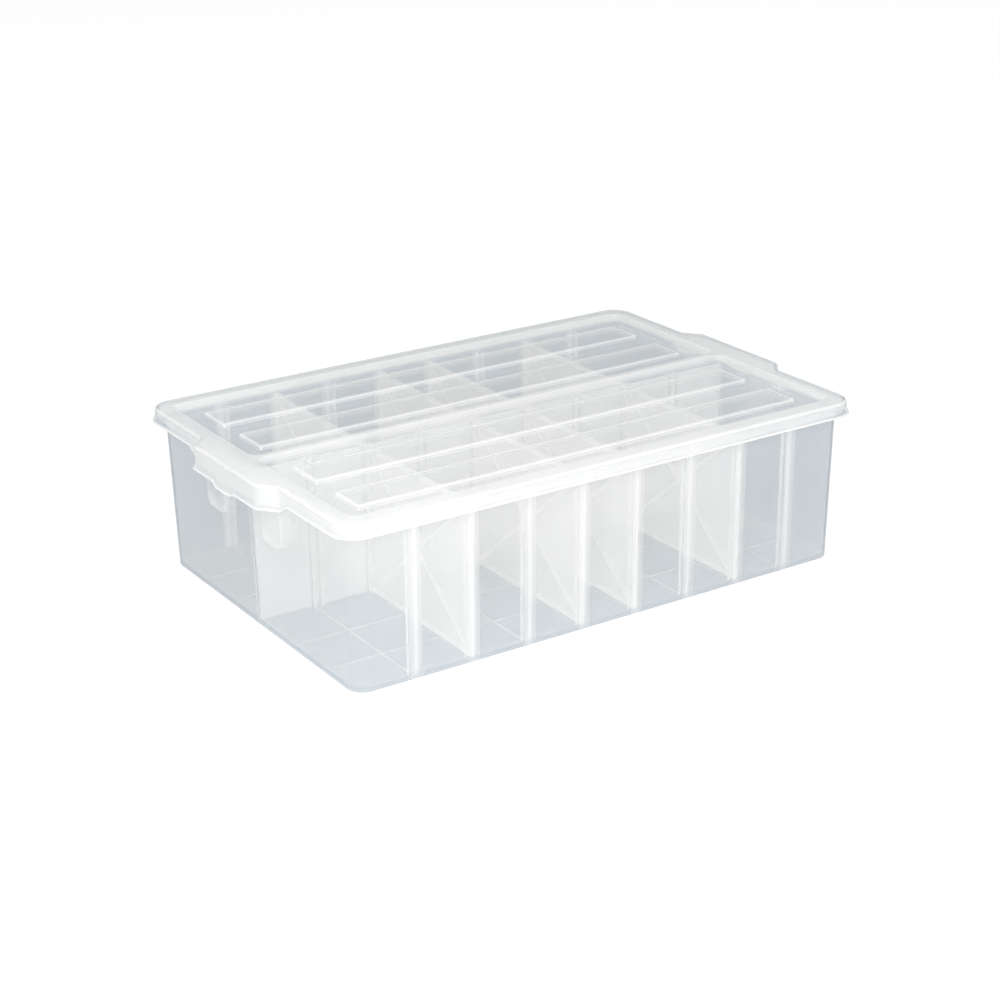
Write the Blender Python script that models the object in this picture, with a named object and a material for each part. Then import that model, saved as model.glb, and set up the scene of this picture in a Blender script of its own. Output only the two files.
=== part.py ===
"""Parts organizer: a shallow moulded tub with a press-on lid and eight lift-out dividers.

Metres, +Z up, X along the length, +Y to the rear. The origin is the middle of the base.
Every wall is built from stacked outlines, so each piece is one closed shell.
"""
import math

import bmesh
import bpy
from mathutils import Vector
from mathutils.geometry import tessellate_polygon

for old in list(bpy.data.objects):
    bpy.data.objects.remove(old, do_unlink=True)

# ---- driving dimensions -------------------------------------------------------------------
GAP = 0.0003              # running gap between neighbouring pieces
LEAST_RADIUS = 0.0004     # plan roundings never shrink below this

LID_LENGTH = 0.3900       # straight edge to straight edge, handles left out
LID_WIDTH = 0.2664
LID_TOP = 0.1130          # top of the lid above the base
LID_WALL = 0.0016
LID_CORNER = 0.0150       # plan radius of the four corners
LID_SKIRT = 0.0098        # skirt height along the straight sides
LID_FLARE = 0.0018        # how far the skirt's lower bead stands out
BEAD_HIGH = 0.0009        # top of the bead's upright band, above the skirt's lower edge
BEAD_WAIST = 0.0023       # where it has thinned to BEAD_SHARE of the flare
BEAD_SHARE = 0.35
SKIRT_PLAIN = 0.0048      # above this the skirt is straight
SKIRT_DRAFT = 0.0001
TOP_EDGE = (0.0018, 0.0005, 0.0017)   # the top edge's rounding: drop, its middle, its inset
UNDER_EDGE = 0.0009       # the rounding inside it

HANDLE_REACH = 0.0098     # how far each handle stands out past the straight end
HANDLE_HALF = 0.0420      # half width of the handle's straight outer edge
HANDLE_FOOT = 0.0536      # half width where the handle meets the end
HANDLE_ROUND = 0.0050     # plan radius of the handle's corners
HANDLE_SKIRT = 0.0160     # skirt height around the handle
SKIRT_STEP = 0.0130       # past each handle's foot the skirt rises over this length
TAB_HALF = 0.0095         # lifting tab in the middle of each handle
TAB_SIDE = 0.0050
TAB_DROP = 0.0022
TAB_FLARE = 0.0008

RECESS_X = 0.1836         # half length of the lid's two sunk panels
RECESS_Y = 0.1208         # their outer edge
RECESS_DEPTH = 0.0055
RECESS_RUN = 0.0042       # plan width of their sloping walls
RECESS_CORNER = 0.0080
RECESS_LIP = (0.0006, -0.0002)        # plan growth above and below the recess's top rounding
RECESS_LIP_DROP = 0.0006
RECESS_TOE = (0.0004, -0.0007)        # the same at the foot of its slope
RECESS_TOE_RISE = 0.0009
RECESS_UNDER = (0.0014, 0.0008, 0.0010)   # growth of the underside at its three levels
RIDGE_HALF = 0.0025       # half width of the ridge between them

BAR_X = 0.1684            # half length of the raised bars
BAR_ROWS = ((0.0740, 0.1027), (0.0223, 0.0517))   # near and far edge, each side of the ridge
BAR_DROP = 0.0027         # bar tops below the lid's frame
BAR_CORNER = 0.0020
BAR_GROW = (0.0011, 0.0003, -0.0003)  # plan growth at the foot, under the rounding, on top
BAR_ROUND = 0.0005
BAR_HOLLOW = (-0.0006, -0.0014)       # plan growth of the hollow at its mouth and its roof

WALL = 0.0018             # tub wall
FLOOR = 0.0022
BASE_X, BASE_Y = 0.1870, 0.1256     # outer half sizes at the base
BASE_EDGE = 0.0008        # rounding of the base's lower edge
EDGE_SHARE = 0.3          # way in and up to the rounding's middle
TOP_X, TOP_Y = 0.1893, 0.1268       # outer half sizes under the rim
TUB_CORNER = 0.0120
RIM_THICK = 0.0018
LIP_WALL = 0.0016
LIP_PLAY = 0.0005         # press fit's play between the lid's skirt and the rim's lip
LIP_BEVEL = 0.0010
LIP_DROP = 0.0048         # rim lip below the rim's underside, straight sides
LIP_DROP_HANDLE = 0.0105  # the same around the handles

PAD_NEAR, PAD_FAR = 0.0250, 0.0500  # the two tongues under each handle
PAD_X = 0.1936            # their outer face
PAD_SHOULDER = 0.0900     # above this height they narrow
PAD_NECK = 0.0978         # up to this one
PAD_FACE = (0.0, 0.0686, 0.0070, -0.0015)     # spread, bottom height, corner, spread at the neck
PAD_ROOT = (0.0098, 0.0674, 0.0190, 0.0010)   # the same where they meet the wall

PARTITION_LOW = 0.0012    # half thickness at the floor
PARTITION_HIGH = 0.0009   # half thickness at its top
PARTITION_BAND = 0.0020   # mouth points nearer the middle than this belong to the partition
SLOT_COUNT = 8
SLOT_PITCH = 0.04136
SLOT_GAP = 0.0029
RIB_WIDE = 0.0028
RIB_DEEP = 0.0034

DIVIDER_SLOTS = (1, 3, 4, 6)        # slots that hold a divider
DIVIDER_EDGE = 0.0023     # thickness of its frame and of its cross
DIVIDER_WEB = 0.0012      # thickness of its panels
DIVIDER_FRAME = 0.0034
DIVIDER_CROSS = 0.0036
DIVIDER_FIT = 0.0004      # play between a divider and the walls at its ends
LID_CLEAR = 0.0011        # free height between the dividers and the lid's panels
DIVIDER_PROUD = 0.0003    # dividers stand this far above the partition

RIM_TOP = LID_TOP - LID_WALL - GAP
RIM_UNDER = RIM_TOP - RIM_THICK
DIVIDER_TOP = LID_TOP - RECESS_DEPTH - LID_WALL - LID_CLEAR
INSIDE_TOP = DIVIDER_TOP - DIVIDER_PROUD      # top of the partition and of the slot ribs

LID_STEPS = 7             # segments of each rounded corner in plan
HANDLE_STEPS = (3, 4)     # at the handle's foot and at its outer corner
RECESS_STEPS, BAR_STEPS = 5, 3
TUB_STEPS = 6
PAD_STEPS = 5


# ---- outline helpers ----------------------------------------------------------------------
def unit(x, y):
    length = math.hypot(x, y)
    return x / length, y / length


def outline(corners, grow=0.0):
    """Points of a closed outline, counter-clockwise, moved outwards by grow.

    A corner is (x, y, radius, steps); with no steps it is a plain point."""
    points = []
    count = len(corners)
    for i, (x, y, radius, steps) in enumerate(corners):
        before = corners[i - 1]
        after = corners[(i + 1) % count]
        d1 = unit(x - before[0], y - before[1])
        d2 = unit(after[0] - x, after[1] - y)
        n1 = (d1[1], -d1[0])
        n2 = (d2[1], -d2[0])
        dot = n1[0] * n2[0] + n1[1] * n2[1]
        cx = x + grow * (n1[0] + n2[0]) / (1.0 + dot)
        cy = y + grow * (n1[1] + n2[1]) / (1.0 + dot)
        if steps == 0:
            points.append((cx, cy))
            continue
        sign = 1.0 if d1[0] * d2[1] - d1[1] * d2[0] > 0 else -1.0
        r = max(radius + sign * grow, LEAST_RADIUS)
        half = math.acos(max(-1.0, min(1.0, dot))) / 2
        start = (cx - d1[0] * r * math.tan(half), cy - d1[1] * r * math.tan(half))
        centre = (start[0] - n1[0] * r * sign, start[1] - n1[1] * r * sign)
        angle = math.atan2(start[1] - centre[1], start[0] - centre[0])
        for k in range(steps + 1):
            turn = angle + 2 * half * sign * k / steps
            points.append((centre[0] + r * math.cos(turn), centre[1] + r * math.sin(turn)))
    return points


def box(x0, x1, y0, y1, radius, steps):
    return [(x0, y0, radius, steps), (x1, y0, radius, steps),
            (x1, y1, radius, steps), (x0, y1, radius, steps)]


class Shell:
    """Collects rings of points and the faces between them."""

    def __init__(self):
        self.points = []
        self.faces = []

    def ring(self, outline_points, heights):
        if not isinstance(heights, (list, tuple)):
            heights = [heights] * len(outline_points)
        first = len(self.points)
        for (x, y), z in zip(outline_points, heights):
            self.points.append(Vector((x, y, z)))
        return list(range(first, len(self.points)))

    def point(self, x, y, z):
        self.points.append(Vector((x, y, z)))
        return len(self.points) - 1

    def skin(self, low, high, closed=True):
        count = len(low)
        last = count if closed else count - 1
        for i in range(last):
            j = (i + 1) % count
            self.faces.append((low[i], low[j], high[j], high[i]))

    def stack(self, rings):
        for low, high in zip(rings, rings[1:]):
            self.skin(low, high)

    def cap(self, edge, holes=()):
        loops = [edge] + list(holes)
        flat = [index for loop in loops for index in loop]
        coords = [[self.points[index] for index in loop] for loop in loops]
        for a, b, c in tessellate_polygon(coords):
            self.faces.append((flat[a], flat[b], flat[c]))

    def build(self, name, material, soft_angle=35.0):
        mesh = bpy.data.meshes.new(name)
        mesh.from_pydata([tuple(p) for p in self.points], [], self.faces)
        bm = bmesh.new()
        bm.from_mesh(mesh)
        bmesh.ops.remove_doubles(bm, verts=bm.verts, dist=0.000001)
        bmesh.ops.recalc_face_normals(bm, faces=bm.faces)
        for face in bm.faces:
            face.smooth = True
        for edge in bm.edges:
            edge.smooth = edge.calc_face_angle(0.0) < math.radians(soft_angle)
        bm.to_mesh(mesh)
        bm.free()
        mesh.materials.append(material)
        node = bpy.data.objects.new(name, mesh)
        bpy.context.scene.collection.objects.link(node)
        return node


def plastic(name, colour, rough, alpha):
    material = bpy.data.materials.new(name)
    material.use_nodes = True
    shader = material.node_tree.nodes["Principled BSDF"]
    shader.inputs["Base Color"].default_value = colour + (1.0,)
    shader.inputs["Roughness"].default_value = rough
    shader.inputs["Metallic"].default_value = 0.0
    shader.inputs["Alpha"].default_value = alpha
    return material


# ---- plan of the lid, handles included ----------------------------------------------------
def lid_plan():
    """Corners of the lid's outline with the skirt height and extra flare of each."""
    a, b = LID_LENGTH / 2, LID_WIDTH / 2
    reach = a + HANDLE_REACH
    tab = TAB_HALF + TAB_SIDE
    r = HANDLE_ROUND
    foot_steps, outer_steps = HANDLE_STEPS
    right = [
        (a, -b, LID_CORNER, LID_STEPS, LID_SKIRT, 0.0),
        (a, -HANDLE_FOOT - SKIRT_STEP, 0.0, 0, LID_SKIRT, 0.0),
        (a, -HANDLE_FOOT, r, foot_steps, HANDLE_SKIRT, 0.0),
        (reach, -HANDLE_HALF, r, outer_steps, HANDLE_SKIRT, 0.0),
        (reach, -tab, 0.0, 0, HANDLE_SKIRT, 0.0),
        (reach, -TAB_HALF, 0.0, 0, HANDLE_SKIRT + TAB_DROP, TAB_FLARE),
        (reach, TAB_HALF, 0.0, 0, HANDLE_SKIRT + TAB_DROP, TAB_FLARE),
        (reach, tab, 0.0, 0, HANDLE_SKIRT, 0.0),
        (reach, HANDLE_HALF, r, outer_steps, HANDLE_SKIRT, 0.0),
        (a, HANDLE_FOOT, r, foot_steps, HANDLE_SKIRT, 0.0),
        (a, HANDLE_FOOT + SKIRT_STEP, 0.0, 0, LID_SKIRT, 0.0),
        (a, b, LID_CORNER, LID_STEPS, LID_SKIRT, 0.0),
    ]
    left = [(-x, -y, r, n, d, f) for x, y, r, n, d, f in right]
    return right + left


PLAN = lid_plan()
PLAN_CORNERS = [corner[:4] for corner in PLAN]


def per_point(column):
    """One value per outline point, taken from a column of the plan."""
    values = []
    for corner in PLAN:
        values.extend([corner[column]] * (corner[3] + 1))
    return values


PLAN_DROP = per_point(4)
PLAN_FLARE = per_point(5)


def plan_ring(shell, grow, heights, flare=0.0):
    """Ring of the lid's outline; flare adds to the tabs' points only."""
    plain = outline(PLAN_CORNERS, grow)
    if flare:
        far = outline(PLAN_CORNERS, grow + flare)
        plain = [q if extra else p for p, q, extra in zip(plain, far, PLAN_FLARE)]
    return shell.ring(plain, heights)


# ---- lid ----------------------------------------------------------------------------------
def build_lid(material):
    shell = Shell()
    low = [LID_TOP - drop for drop in PLAN_DROP]

    def at(lift):
        return [z + lift for z in low]

    waist, waist_flare = LID_FLARE * BEAD_SHARE, TAB_FLARE * 0.5
    edge_drop, edge_middle, edge_inset = TOP_EDGE
    outer = [
        plan_ring(shell, LID_FLARE, at(0.0), TAB_FLARE),
        plan_ring(shell, LID_FLARE, at(BEAD_HIGH), TAB_FLARE),
        plan_ring(shell, waist, at(BEAD_WAIST), waist_flare),
        plan_ring(shell, SKIRT_DRAFT, at(SKIRT_PLAIN)),
        plan_ring(shell, 0.0, LID_TOP - edge_drop),
        plan_ring(shell, -edge_middle, LID_TOP - edge_middle),
        plan_ring(shell, -edge_inset, LID_TOP),
    ]
    shell.stack(outer)
    inner = [
        outer[0],
        plan_ring(shell, LID_FLARE - LID_WALL, at(0.0), TAB_FLARE),
        plan_ring(shell, LID_FLARE - LID_WALL, at(BEAD_HIGH), TAB_FLARE),
        plan_ring(shell, waist - LID_WALL, at(BEAD_WAIST), waist_flare),
        plan_ring(shell, SKIRT_DRAFT - LID_WALL, at(SKIRT_PLAIN)),
        plan_ring(shell, -LID_WALL, LID_TOP - LID_WALL - UNDER_EDGE),
        plan_ring(shell, -LID_WALL - UNDER_EDGE, LID_TOP - LID_WALL),
    ]
    shell.stack(inner)

    floor_top = LID_TOP - RECESS_DEPTH
    floor_under = floor_top - LID_WALL
    bar_top = LID_TOP - BAR_DROP
    top_holes = []
    under_holes = []
    for side in (-1, 1):
        y0, y1 = sorted((side * RIDGE_HALF, side * RECESS_Y))
        panel = box(-RECESS_X, RECESS_X, y0, y1, RECESS_CORNER, RECESS_STEPS)
        sunk = [
            shell.ring(outline(panel, RECESS_LIP[0]), LID_TOP),
            shell.ring(outline(panel, RECESS_LIP[1]), LID_TOP - RECESS_LIP_DROP),
            shell.ring(outline(panel, RECESS_TOE[0] - RECESS_RUN), floor_top + RECESS_TOE_RISE),
            shell.ring(outline(panel, RECESS_TOE[1] - RECESS_RUN), floor_top),
        ]
        shell.stack(sunk)
        top_holes.append(sunk[0])
        mouth, shoulder, foot = RECESS_UNDER
        below = [
            shell.ring(outline(panel, mouth), LID_TOP - LID_WALL),
            shell.ring(outline(panel, shoulder), LID_TOP - LID_WALL - RECESS_LIP_DROP),
            shell.ring(outline(panel, foot - RECESS_RUN), floor_under),
        ]
        shell.stack(below)
        under_holes.append(below[0])
        floor_holes = []
        ceiling_holes = []
        for near, far in BAR_ROWS:
            y0, y1 = sorted((side * near, side * far))
            bar = box(-BAR_X, BAR_X, y0, y1, BAR_CORNER, BAR_STEPS)
            levels = zip(BAR_GROW, (floor_top, bar_top - BAR_ROUND, bar_top))
            raised = [shell.ring(outline(bar, grow), z) for grow, z in levels]
            shell.stack(raised)
            shell.cap(raised[-1])
            floor_holes.append(raised[0])
            levels = zip(BAR_HOLLOW, (floor_under, bar_top - LID_WALL))
            hollow = [shell.ring(outline(bar, grow), z) for grow, z in levels]
            shell.stack(hollow)
            shell.cap(hollow[-1])
            ceiling_holes.append(hollow[0])
        shell.cap(sunk[-1], floor_holes)
        shell.cap(below[-1], ceiling_holes)
    shell.cap(outer[-1], top_holes)
    shell.cap(inner[-1], under_holes)
    return shell.build("lid", material)


# ---- tub ----------------------------------------------------------------------------------
def slot_centre(index):
    return (index - (SLOT_COUNT - 1) / 2) * SLOT_PITCH


def outer_x(z):
    return BASE_X + (TOP_X - BASE_X) * z / RIM_UNDER


def outer_y(z):
    return BASE_Y + (TOP_Y - BASE_Y) * z / RIM_UNDER


def inner_x(z):
    return outer_x(z) - WALL


def inner_y(z):
    return outer_y(z) - WALL


def partition_half(z):
    return PARTITION_LOW + (PARTITION_HIGH - PARTITION_LOW) * z / INSIDE_TOP


def rib_edges():
    """x of every slot rib's two edges, from -X to +X."""
    edges = []
    for index in range(SLOT_COUNT):
        x = slot_centre(index)
        edges.append((x - SLOT_GAP / 2 - RIB_WIDE, x - SLOT_GAP / 2))
        edges.append((x + SLOT_GAP / 2, x + SLOT_GAP / 2 + RIB_WIDE))
    return edges


def pocket(z):
    """Outline of the front half's inside at one height: (x, y, kind).

    Kinds: W on the outer walls, T a rib tip on the outer wall, P on the partition side."""
    a, b, p = inner_x(z), inner_y(z), partition_half(z)
    arc = TUB_STEPS + 1
    arcs = outline(box(-a, a, -b, b, TUB_CORNER - WALL, TUB_STEPS))
    points = [(-a, -p, "W")]
    points += [(x, y, "W") for x, y in arcs[:arc]]
    for x0, x1 in rib_edges():
        points.append((x0, -b, "W"))
        points.append((x0, -b + RIB_DEEP, "T"))
        points.append((x1, -b + RIB_DEEP, "T"))
        points.append((x1, -b, "W"))
    points += [(x, y, "W") for x, y in arcs[arc:2 * arc]]
    points.append((a, -p, "W"))
    for x0, x1 in reversed(rib_edges()):
        points.append((x1, -p, "P"))
        points.append((x1, -p - RIB_DEEP, "P"))
        points.append((x0, -p - RIB_DEEP, "P"))
        points.append((x0, -p, "P"))
    return points


def pad_outline(side, shape):
    """A tongue's U in (y, z), from the rim down, along the bottom and up again."""
    spread, low, r, neck = shape
    near, far = PAD_NEAR - spread, PAD_FAR + spread
    points = [(PAD_NEAR - neck, RIM_UNDER), (PAD_NEAR - neck, PAD_NECK), (near, PAD_SHOULDER)]
    for centre, start in ((near + r, 180), (far - r, 270)):
        for k in range(PAD_STEPS + 1):
            angle = math.radians(start + 90 * k / PAD_STEPS)
            points.append((centre + r * math.cos(angle), low + r + r * math.sin(angle)))
    points += [(far, PAD_SHOULDER), (PAD_FAR + neck, PAD_NECK), (PAD_FAR + neck, RIM_UNDER)]
    if side < 0:
        points = [(-y, z) for y, z in reversed(points)]
    return points


def build_tub(material):
    shell = Shell()
    base = box(-BASE_X, BASE_X, -BASE_Y, BASE_Y, TUB_CORNER, TUB_STEPS)
    head = box(-TOP_X, TOP_X, -TOP_Y, TOP_Y, TUB_CORNER, TUB_STEPS)
    rings = [
        shell.ring(outline(base, -BASE_EDGE), 0.0),
        shell.ring(outline(base, -BASE_EDGE * EDGE_SHARE), BASE_EDGE * EDGE_SHARE),
        shell.ring(outline(base), BASE_EDGE),
    ]
    shell.cap(rings[0])
    shell.stack(rings)
    low = rings[-1]
    high = shell.ring(outline(head), RIM_UNDER)

    under_edge = []
    arc = TUB_STEPS + 1
    for corner in range(4):
        start = corner * arc
        shell.skin(low[start:start + arc], high[start:start + arc], closed=False)
        under_edge += high[start:start + arc]
        last, after = start + TUB_STEPS, (start + arc) % len(low)
        if corner in (0, 2):
            shell.faces.append((low[last], low[after], high[after], high[last]))
            continue
        out = 1 if corner == 1 else -1
        ring = [low[last], low[after], high[after]]
        notch = []
        for side in (1, -1):
            root = [shell.point(out * outer_x(z), out * y, z)
                    for y, z in pad_outline(side, PAD_ROOT)]
            face = [shell.point(out * PAD_X, out * y, z) for y, z in pad_outline(side, PAD_FACE)]
            shell.skin(root, face, closed=False)
            shell.cap(face)
            ring += reversed(root)
            notch.append((root[0], face[0], face[-1], root[-1]))
        ring.append(high[last])
        shell.cap(ring)
        for points in reversed(notch):
            under_edge += points

    lip_low = [RIM_UNDER - (LIP_DROP if drop == LID_SKIRT else LIP_DROP_HANDLE)
               for drop in PLAN_DROP]
    lip_out = -LID_WALL - LIP_PLAY
    lip = [
        plan_ring(shell, lip_out - LIP_WALL, RIM_UNDER),
        plan_ring(shell, lip_out - LIP_WALL, lip_low),
        plan_ring(shell, lip_out, lip_low),
        plan_ring(shell, lip_out, RIM_TOP - LIP_BEVEL),
        plan_ring(shell, lip_out - LIP_BEVEL, RIM_TOP),
    ]
    shell.stack(lip)
    shell.cap(lip[0], [under_edge])

    front_low, front_high = pocket(FLOOR), pocket(INSIDE_TOP)
    mouths = []
    partition_edge = []
    for side in (-1, 1):
        flip = -side
        lower = [shell.point(x, y * flip, FLOOR) for x, y, kind in front_low]
        upper = [shell.point(x, y * flip, INSIDE_TOP) for x, y, kind in front_high]
        shell.skin(lower, upper)
        shell.cap(lower)
        kinds = [kind for x, y, kind in front_high]
        wall = [i for i, kind in enumerate(kinds) if kind == "W"]
        for i, kind in enumerate(kinds):
            if kind == "T" and kinds[i - 1] == "W":
                shell.faces.append((upper[i - 1], upper[i], upper[i + 1], upper[i + 2]))
        mouths.append([upper[i] for i in wall])
        partition_edge.append([upper[wall[-1]]] + upper[wall[-1] + 1:] + [upper[0]])
    shell.cap(partition_edge[0] + list(reversed(partition_edge[1])))
    mouth = mouths[0] + list(reversed(mouths[1]))

    shrink_x = inner_x(RIM_UNDER) - inner_x(INSIDE_TOP)
    shrink_y = inner_y(RIM_UNDER) - inner_y(INSIDE_TOP)
    corner_start = BASE_X - WALL - TUB_CORNER
    brim = []
    for index in mouth:
        x, y, z = shell.points[index]
        if abs(x) > corner_start:
            x += math.copysign(shrink_x, x)
        if abs(y) > PARTITION_BAND:
            y += math.copysign(shrink_y, y)
        brim.append(shell.point(x, y, RIM_TOP))
    shell.skin(mouth, brim)
    shell.cap(lip[-1], [brim])
    return shell.build("tub", material)


# ---- dividers -----------------------------------------------------------------------------
def build_divider(name, slot, side, material):
    """A drafted plate with a raised frame and a raised cross on both faces."""
    shell = Shell()
    low, high = FLOOR + GAP, DIVIDER_TOP

    def corner(z, outer, inset=0.0):
        """The frame's corner at one height, at the long wall or at the centre wall."""
        play = DIVIDER_FIT + inset
        return side * (inner_y(z) - play if outer else partition_half(z) + play), z

    ring = [corner(low, False), corner(low, True), corner(high, True), corner(high, False)]
    middle = (sum(p[0] for p in ring) / 4, sum(p[1] for p in ring) / 4)
    frame, half_cross = DIVIDER_FRAME, DIVIDER_CROSS / 2
    inside = [corner(low + frame, False, frame), corner(low + frame, True, frame),
              corner(high - frame, True, frame), corner(high - frame, False, frame)]

    def toward(p, q, amount):
        dx, dy = unit(q[0] - p[0], q[1] - p[1])
        return p[0] + dx * amount, p[1] + dy * amount

    windows = []
    for k in range(4):
        p, q = inside[k], inside[(k + 1) % 4]
        edge = unit(q[0] - p[0], q[1] - p[1])

        def back_off(corner_point, along):
            ray = unit(middle[0] - corner_point[0], middle[1] - corner_point[1])
            sine = abs(ray[0] * along[1] - ray[1] * along[0])
            return half_cross / sine

        start = toward(p, q, back_off(p, edge))
        end = toward(q, p, back_off(q, edge))
        ray_p = unit(middle[0] - p[0], middle[1] - p[1])
        ray_q = unit(middle[0] - q[0], middle[1] - q[1])
        det = ray_p[0] * -ray_q[1] + ray_p[1] * ray_q[0]
        dx, dy = end[0] - start[0], end[1] - start[1]
        t = (dx * -ray_q[1] + dy * ray_q[0]) / det
        tip = (start[0] + ray_p[0] * t, start[1] + ray_p[1] * t)
        windows.append([start, end, tip])

    edges = []
    for face in (-1, 1):
        frame_x, web_x = face * DIVIDER_EDGE / 2, face * DIVIDER_WEB / 2
        edge = [shell.point(frame_x, y - middle[0], z) for y, z in ring]
        holes = []
        for window in windows:
            rim = [shell.point(frame_x, y - middle[0], z) for y, z in window]
            web = [shell.point(web_x, y - middle[0], z) for y, z in window]
            shell.skin(rim, web)
            shell.cap(web)
            holes.append(rim)
        shell.cap(edge, holes)
        edges.append(edge)
    shell.skin(edges[0], edges[1])
    node = shell.build(name, material, 20.0)
    node.location = (slot_centre(slot), middle[0], 0.0)
    return node


clear_white = (0.93, 0.95, 0.96)
build_tub(plastic("tub_plastic", clear_white, 0.35, 0.45))
build_lid(plastic("lid_plastic", clear_white, 0.38, 0.55))
for row, side in (("front", -1), ("rear", 1)):
    for number, slot in enumerate(DIVIDER_SLOTS, start=1):
        name = "divider_%s_%d" % (row, number)
        build_divider(name, slot, side, plastic(name + "_plastic", clear_white, 0.40, 0.6))
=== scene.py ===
"""Looks of the parts organizer: finely modelled milky plastic pieces that stand for the CAD solids.

Metres, +Z up, X along the box. Every piece is a closed shell of stacked outlines. Each face
carries how much the plastic clouds there, so thick ribs, rims and edges read whiter than walls.
"""

import math

import bmesh
import bpy
from mathutils import Matrix, Vector
from mathutils.geometry import tessellate_polygon


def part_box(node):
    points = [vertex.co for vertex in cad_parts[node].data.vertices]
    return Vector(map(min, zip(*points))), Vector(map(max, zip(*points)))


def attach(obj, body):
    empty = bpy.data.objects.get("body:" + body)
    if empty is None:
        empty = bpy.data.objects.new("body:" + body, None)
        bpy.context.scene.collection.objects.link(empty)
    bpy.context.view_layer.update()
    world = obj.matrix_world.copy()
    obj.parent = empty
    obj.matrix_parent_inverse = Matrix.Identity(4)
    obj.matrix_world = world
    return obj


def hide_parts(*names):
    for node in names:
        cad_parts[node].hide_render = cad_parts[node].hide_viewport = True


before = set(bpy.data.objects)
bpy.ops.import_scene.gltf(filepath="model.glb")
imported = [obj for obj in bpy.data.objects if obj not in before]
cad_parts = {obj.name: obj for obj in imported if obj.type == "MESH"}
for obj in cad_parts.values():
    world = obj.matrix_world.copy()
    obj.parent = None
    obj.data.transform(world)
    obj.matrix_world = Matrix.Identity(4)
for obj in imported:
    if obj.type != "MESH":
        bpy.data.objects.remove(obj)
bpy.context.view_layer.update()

# ---- sizes read from the frame ------------------------------------------------------------
lid_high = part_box("lid")[1]
tub_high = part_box("tub")[1]
LID_TOP = lid_high.z
RIM_TOP = tub_high.z

# ---- lid: sizes ---------------------------------------------------------------------------
LEAST_RADIUS = 0.0004     # plan roundings never shrink below this

LID_FLARE = 0.0018        # the skirt's lower bead stands out this far
LID_WALL = 0.0016
LID_CORNER = 0.0150       # plan radius of the four corners
LID_SKIRT = 0.0098        # skirt height along the straight sides
LID_STEPS = 14            # segments of each rounded corner in plan

TAB_HALF = 0.0095         # lifting tab in the middle of each handle
TAB_SIDE = 0.0050
TAB_DROP = 0.0022
TAB_FLARE = 0.0008
TAB_INNER = 0.5           # share of the tab's flare that its inner face follows
TAB_FADE_TOP, TAB_FADE_RUN = 0.0040, 0.0028    # its flare fades to nothing at TOP, over RUN

HANDLE_REACH = 0.0098     # how far each handle stands out past the straight end
HANDLE_HALF = 0.0420      # half width of its straight outer edge
HANDLE_FOOT = 0.0536      # half width where it meets the end
HANDLE_SKIRT = 0.0160     # skirt height around it
HANDLE_ROUND = 0.0050     # plan radius of its corners
HANDLE_STEPS = (5, 6)     # their segments, at the foot and at the outer corner
SKIRT_STEP = 0.0130       # past each handle's foot the skirt rises over this length

LID_X = lid_high.x - LID_FLARE - TAB_FLARE - HANDLE_REACH
LID_Y = lid_high.y - LID_FLARE

RECESS_X, RECESS_Y = 0.1836, 0.1208    # half length of the two sunk panels, and their outer edge
RECESS_DEPTH = 0.0055
RECESS_RUN = 0.0042       # plan width of their sloping walls
RECESS_CORNER = 0.0080
RECESS_STEPS = 9
RIDGE_HALF = 0.0025       # half width of the ridge between them
BAR_X = 0.1684            # half length of the raised bars
BAR_ROWS = ((0.0740, 0.1027), (0.0223, 0.0517))   # near and far edge, each side of the ridge
BAR_DROP = 0.0027         # bar tops below the lid's frame
BAR_CORNER = 0.0020
BAR_STEPS = 6

# ---- lid: profiles ------------------------------------------------------------------------
# Each point is (growth of the plan outline, height, rounding). Heights start at the skirt's
# lower edge in the bead's profile and at the lid's top in the others.
BEAD_WAIST, BEAD_SHARE = 0.0023, 0.35  # inside, up here the bead has this share of its flare
SKIRT_PLAIN, SKIRT_DRAFT = 0.0048, 0.0001      # above this the skirt is straight
BEAD_PROFILE = (
    (LID_FLARE - LID_WALL, 0.0012, 0.0), (LID_FLARE - LID_WALL, 0.0, 0.0004),
    (LID_FLARE, 0.0, 0.0006), (LID_FLARE, 0.0012, 0.0007), (0.0006, 0.0026, 0.0012),
    (SKIRT_DRAFT, SKIRT_PLAIN, 0.0))
TOP_EDGE_PROFILE = ((0.0, -0.0040, 0.0), (0.0, 0.0, 0.0017), (-0.0030, 0.0, 0.0))
UNDER_EDGE_PROFILE = (
    (-LID_WALL, -0.0040, 0.0), (-LID_WALL, -LID_WALL, 0.0009),
    (-LID_WALL - 0.0016, -LID_WALL, 0.0))
PANEL_PROFILE = (
    (0.0016, 0.0, 0.0), (0.0004, 0.0, 0.0008),
    (-RECESS_RUN, -RECESS_DEPTH, 0.0009), (-RECESS_RUN - 0.0014, -RECESS_DEPTH, 0.0))
PANEL_UNDER_PROFILE = (
    (0.0022, -LID_WALL, 0.0), (0.0012, -LID_WALL, 0.0006),
    (0.0010 - RECESS_RUN, -RECESS_DEPTH - LID_WALL, 0.0004),
    (0.0002 - RECESS_RUN, -RECESS_DEPTH - LID_WALL, 0.0))
BAR_PROFILE = (
    (0.0017, -RECESS_DEPTH, 0.0), (0.0009, -RECESS_DEPTH, 0.0004),
    (0.0, -BAR_DROP, 0.0013), (-0.0019, -BAR_DROP, 0.0))
HOLLOW_PROFILE = (
    (0.0, -RECESS_DEPTH - LID_WALL, 0.0), (-0.0006, -RECESS_DEPTH - LID_WALL, 0.0003),
    (-0.0014, -BAR_DROP - LID_WALL, 0.0004), (-0.0028, -BAR_DROP - LID_WALL, 0.0))
BEAD_ARC, TOP_EDGE_ARC, PANEL_ARC, BAR_ARC, UNDER_ARC = 4, 6, 4, 5, 3   # segments of a rounding

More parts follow.
